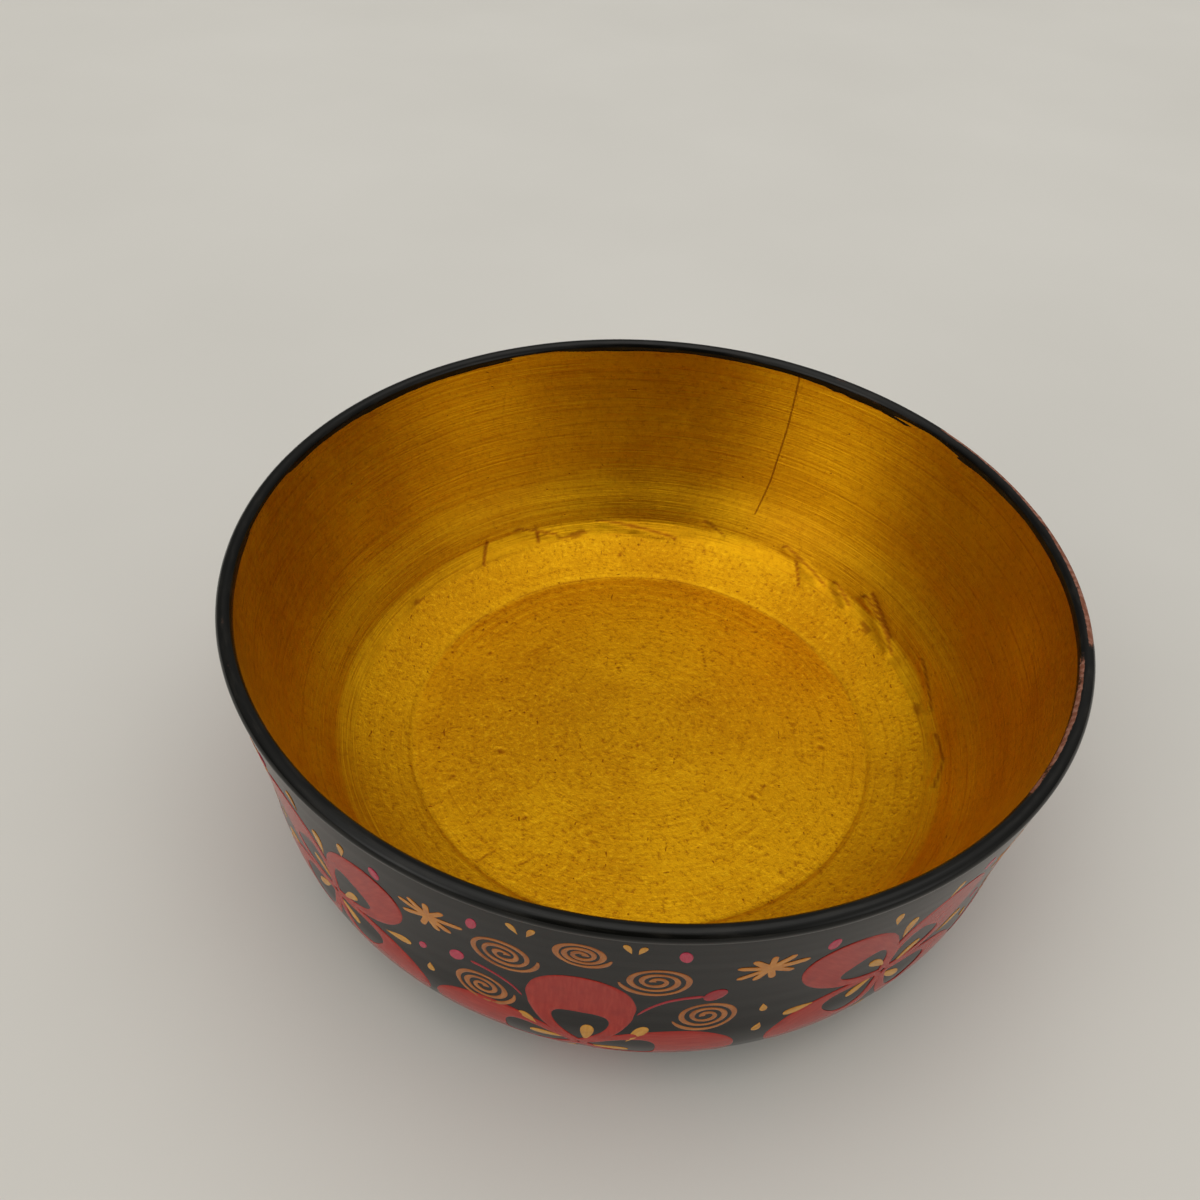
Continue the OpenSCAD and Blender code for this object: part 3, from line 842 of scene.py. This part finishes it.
class Strokes:
    """Collects the brush strokes of one piece, each a closed relief on the wall."""

    def __init__(self, seed):
        self.rng = np.random.default_rng(seed)
        self.points, self.faces, self.brush, self.thick = [], [], [], []
        self.count = 0

    def lay(self, k, u, v, turn, xy, height, brush, faces, rims):
        """xy (n, 2) in millimetres, turned by `turn` degrees and centred at u, v of flower k."""
        a = math.radians(turn)
        x = xy[:, 0] * math.cos(a) - xy[:, 1] * math.sin(a)
        y = xy[:, 0] * math.sin(a) + xy[:, 1] * math.cos(a)
        s = flower_s(k) - v - y
        r, z, nr, nz = SKIN.at(outside(np.maximum(s, LIP_R)))
        mid_r = SKIN.at(outside(max(flower_s(k) - v, LIP_R)))[0]
        az = math.radians(flower_az(k)) + u / AZ_MM + x / mid_r
        n = len(xy)
        grain = 1 + 0.12 * np.sin(3.1 * xy[:, 0] + 0.7 * np.sin(0.8 * xy[:, 1]))
        for lift in (PAINT_T * height * grain, np.full(n, -PAINT_ROOT)):
            rr, zz = r + lift * nr, z + lift * nz
            self.points.append(np.stack([rr * np.cos(az), rr * np.sin(az), zz], 1) * MM)
        self.brush += [np.column_stack([brush, np.full(n, self.rng.random())])] * 2
        self.thick += [height, np.zeros(n)]
        top, low = self.count, self.count + n
        for face in faces:
            self.faces.append([top + i for i in face])
            self.faces.append([low + i for i in reversed(face)])
        for ring in rims:
            for i, j in zip(ring, ring[1:]):
                self.faces.append([top + j, top + i, low + i, low + j])
        self.count += 2 * n

    def wobble(self, xy, size, pitch):
        """A hand's small unsteadiness."""
        out = xy.copy()
        for axis in (0, 1):
            a, b, c, _ = self.rng.uniform(0, TAU, 4)
            swing = np.sin(xy[:, 0] / pitch + a + np.sin(xy[:, 1] / pitch + b))
            swing = swing + 0.5 * np.sin(1.9 * xy[:, 1] / pitch + c + xy[:, 0] / pitch)
            out[:, axis] += size * swing / 1.5
        return out

    def strip(self, k, u, v, turn, left, right, t_mm, cols=7, wobble=0.06):
        """A stroke between two edges (rows, 2), closed to a point or a flat at its ends."""
        w = np.sin(np.linspace(-1, 1, cols) * math.pi / 2)
        share = (w[None, :, None] + 1) / 2
        grid = left[:, None, :] * (1 - share) + right[:, None, :] * share
        half = np.hypot(*(right - left).T)[:, None] / 2
        gap = np.minimum((1 - np.abs(w))[None, :] * half,
                         np.minimum(t_mm, t_mm[-1] - t_mm)[:, None] + 0.02)
        rows = len(left)
        brush = np.stack([w[None, :] * half, np.tile(t_mm[:, None], (1, cols))], -1).reshape(-1, 2)
        faces, at = [], lambda i, j: i * cols + j
        for i in range(rows - 1):
            for j in range(cols - 1):
                faces.append([at(i, j), at(i, j + 1), at(i + 1, j + 1), at(i + 1, j)])
        rim = [at(0, j) for j in range(cols)] + [at(i, cols - 1) for i in range(1, rows)]
        rim += [at(rows - 1, j) for j in range(cols - 2, -1, -1)]
        rim += [at(i, 0) for i in range(rows - 2, -1, -1)]
        xy = self.wobble(grid.reshape(-1, 2), wobble, 2.2)
        self.lay(k, u, v, turn, xy, round_edge(gap).ravel(), brush, faces, [rim])

    def leaf(self, k, u, v, turn, length, width, belly=0.72, tip=0.5, rows=13, root_y=0.0):
        t = (1 - np.cos(np.linspace(0, math.pi, rows))) / 2
        half = leaf_half(t, width, belly, tip)
        y = t * length + root_y
        self.strip(k, u, v, turn, np.stack([-half, y], 1), np.stack([half, y], 1), t * length)

    def petal(self, k, turn, size):
        """A petal with the dark eye left open near the flower's centre."""
        eye0, eye1 = EYE_UP / PETAL_L, (EYE_UP + EYE_L) / PETAL_L

        def part(a, b, n):
            return a + (b - a) * (1 - np.cos(np.linspace(0, math.pi, n))) / 2

        t = np.concatenate([part(0, eye0, 5)[:-1], part(eye0, eye1, 22)[:-1], part(eye1, 1, 17)])
        outer = leaf_half(t, PETAL_W, 0.6, 0.5)
        eye = leaf_half((t - eye0) / (eye1 - eye0), EYE_W, 0.74, 0.35)
        eye = np.where((t <= eye0 + 1e-9) | (t >= eye1 - 1e-9), 0, eye)
        cols = 8
        w = (1 - np.cos(np.linspace(0, math.pi, cols))) / 2
        side = eye[:, None] + (outer - eye)[:, None] * w[None, :]
        grid_x = np.concatenate([-side[:, ::-1], side], 1)
        y = np.tile((t * PETAL_L)[:, None], (1, 2 * cols))
        gap = (outer - eye)[:, None] * np.minimum(1 - w, np.where(eye[:, None] > 0, w, 9))
        gap = np.concatenate([gap[:, ::-1], gap], 1)
        gap = np.minimum(gap, np.minimum(y, PETAL_L - y) + 0.02)
        rows, wide = grid_x.shape
        open_row = eye > 0
        faces = []
        for i in range(rows - 1):
            for j in range(wide - 1):
                if j != cols - 1:
                    faces.append([i * wide + j, i * wide + j + 1, (i + 1) * wide + j + 1,
                                  (i + 1) * wide + j])
        rims = [[i * wide + wide - 1 for i in range(rows)],
                [i * wide for i in range(rows - 1, -1, -1)]]
        spread = [i for i in range(rows) if open_row[i] or (i > 0 and open_row[i - 1])
                  or (i < rows - 1 and open_row[i + 1])]
        rims += [[i * wide + cols - 1 for i in spread], [i * wide + cols for i in reversed(spread)]]
        xy = np.stack([grid_x.ravel(), y.ravel() - PETAL_L / 2], 1)
        brush = np.stack([grid_x.ravel(), y.ravel()], 1)
        xy = self.wobble(xy, 0.12, 4.0) * size
        mid = PETAL_ROOT + size * PETAL_L / 2
        a = math.radians(turn)
        self.lay(k, mid * math.cos(a), mid * math.sin(a), turn - 90, xy,
                 round_edge(gap).ravel(), brush, faces, rims)

    def spiral(self, k, u, v, share, hand):
        """A line that starts as a blob in the middle and winds out for three turns."""
        radius = share * SPIRAL_R
        rows = 40 * SPIRAL_TURNS
        t = np.linspace(0, 1, rows + 1)
        start = self.rng.uniform(-0.5, 0.5)
        phi = TAU * SPIRAL_TURNS * t + start
        squash = self.rng.uniform(0.92, 1.0)
        r = 0.45 + (radius - 0.45 - SPIRAL_W / 2) * t
        r = r + 0.12 * np.sin(phi + self.rng.uniform(0, TAU)) * t
        width = SPIRAL_W * (0.92 + 0.16 * np.sin(2.3 * phi + self.rng.uniform(0, TAU)))
        width = width * step(-0.02, 0.03, 1 - t) + 0.5 * np.exp(-(t / 0.05) ** 2)
        way = np.stack([hand * np.cos(phi), np.sin(phi)], 1)
        inner = way * np.maximum(r - width / 2, 0.02)[:, None]
        outer = way * (r + width / 2)[:, None] * [1, squash]
        inner = inner * [1, squash]
        length = np.concatenate([[0], np.cumsum(np.hypot(*np.diff(way * r[:, None], axis=0).T))])
        pair = (inner, outer) if hand < 0 else (outer, inner)
        self.strip(k, u, v, 0, pair[1], pair[0], length, cols=5, wobble=0.03)

    def star(self, k, u, v):
        """Short brush rays from one middle."""
        count = 16 * STAR_RAYS
        phi = np.linspace(0, TAU, count, endpoint=False)
        edge = np.full(count, 0.24 * STAR_R * 0.8)
        for i in range(STAR_RAYS):
            aim = TAU * i / STAR_RAYS + math.radians(8) + self.rng.uniform(-0.09, 0.09)
            long = STAR_R * (1 - 0.28 * abs(math.sin(math.radians(140 * i))))
            long *= self.rng.uniform(0.92, 1.02)
            off = np.abs((phi - aim + math.pi) % TAU - math.pi)
            half = self.rng.uniform(0.42, 0.58)
            reach = half / np.maximum(np.sin(np.minimum(off, math.pi / 2)), 1e-3)
            capsule = long - 0.8 * np.clip(off * long / half, 0, 1) ** 2 * half
            edge = np.maximum(edge, np.where(off < math.pi / 2, np.minimum(reach, capsule), 0))
        share = np.array([0, 0.35, 0.65, 0.84, 0.94, 1.0])
        r = share[:, None] * edge[None, :]
        xy = np.stack([r * np.cos(phi), r * np.sin(phi)], -1).reshape(-1, 2)
        gap = (1 - share)[:, None] * np.minimum(edge, 2.2)[None, :]
        faces = []
        for i in range(len(share) - 1):
            for j in range(count):
                m = (j + 1) % count
                faces.append([i * count + j, (i + 1) * count + j, (i + 1) * count + m,
                              i * count + m])
        rim = [(len(share) - 1) * count + j % count for j in range(count + 1)]
        brush = np.stack([np.tile(phi * 1.5, len(share)), r.ravel()], 1)
        self.lay(k, u, v, 0, xy, round_edge(gap).ravel(), brush, faces, [rim])

    def line(self, k, u, v, a, bend, b, w0, w1):
        t = np.linspace(0, 1, 19)[:, None]
        a, bend, b = (np.asarray(p, float) for p in (a, bend, b))
        mid = (1 - t) ** 2 * a + 2 * t * (1 - t) * bend + t * t * b
        way = np.gradient(mid, axis=0)
        way /= np.hypot(*way.T)[:, None]
        right = np.stack([way[:, 1], -way[:, 0]], 1)
        half = (w0 + (w1 - w0) * t) / 2 * step(-0.03, 0.08, np.minimum(t, 1.02 - t))
        length = np.concatenate([[0], np.cumsum(np.hypot(*np.diff(mid, axis=0).T))])
        self.strip(k, u, v, 0, mid - right * half, mid + right * half, length, cols=5, wobble=0.04)

    def finish(self, name, node, mat):
        values = {"brush": np.vstack(self.brush), "thick": np.concatenate(self.thick)}
        points, faces, values = weld(np.vstack(self.points), self.faces, values)
        return build(name, points, faces, values, [node], mat)


def add_ornament():
    petals = Strokes(61)
    for k in range(FLOWERS):
        for turn in (SALTIRE_DIRS if k % 2 else CROSS_DIRS):
            petals.petal(k, turn, SALTIRE if k % 2 else 1.0)
    petals.finish("petals", "red_petals",
                  brush_material("petal_red", (0.36, 0.019, 0.011), (0.27, 0.013, 0.009),
                                 (0.46, 0.040, 0.022)))
    spirals = Strokes(62)
    stars = Strokes(63)
    drops = Strokes(64)
    dots = Strokes(65)
    stems = Strokes(66)
    for k in range(FLOWERS):
        odd = k % 2
        for u, v, share, hand in (SALTIRE_SPIRALS if odd else CROSS_SPIRALS):
            spirals.spiral(k, u, v, share, hand)
        for u, v, way, length, width in (SALTIRE_DROPS if odd else CROSS_DROPS):
            drops.leaf(k, u, v, way + 90, length, width, root_y=-length / 2)
        for u, v, tilt, length, width in (SALTIRE_DOTS if odd else CROSS_DOTS):
            dots.leaf(k, u, v, tilt, length, width, 0.5, 0.5, root_y=-length / 2)
    for k in range(0, FLOWERS, 2):
        for u in (-21.1, 24):
            stars.star(k, u, 26.4)
        stems.line(k, 12.4, 16.4, (-4.6, -4.2), (-1.6, 2.2), (4, 2.4), 0.4, 0.9)
        stems.leaf(k, 17.9, 19.1, -35, 4, 2.7, 0.5, 0.5, root_y=-2)
        stems.line(k, -11.4, 15.4, (3.2, -3.2), (1, 1.6), (-4.2, 2.2), 0.4, 0.8)
    spirals.finish("spirals", "gold_spirals",
                   brush_material("spiral_gold", (0.39, 0.125, 0.028), (0.26, 0.070, 0.017),
                                  (0.50, 0.19, 0.048)))
    stars.finish("stars", "gold_stars",
                 brush_material("star_gold", (0.56, 0.21, 0.035), (0.42, 0.13, 0.025),
                                (0.66, 0.30, 0.06)))
    drops.finish("drops", "gold_strokes",
                 brush_material("drop_gold", (0.60, 0.27, 0.035), (0.44, 0.16, 0.025),
                                (0.70, 0.38, 0.08)))
    dots.finish("dots", "crimson_dots",
                brush_material("dot_crimson", (0.48, 0.035, 0.075), (0.34, 0.02, 0.05),
                               (0.58, 0.07, 0.12)))
    stems.finish("stems", "crimson_stems",
                 brush_material("stem_crimson", (0.34, 0.02, 0.028), (0.24, 0.014, 0.02),
                                (0.44, 0.04, 0.05)))


def dress_cad():
    for name, mat in (("wood_body", wood_material()), ("clay_ground", clay_material())):
        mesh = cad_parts[name].data
        mesh.materials.clear()
        mesh.materials.append(mat)


dress_cad()
add_gold()
add_black()
add_rim()
add_underside()
add_ornament()
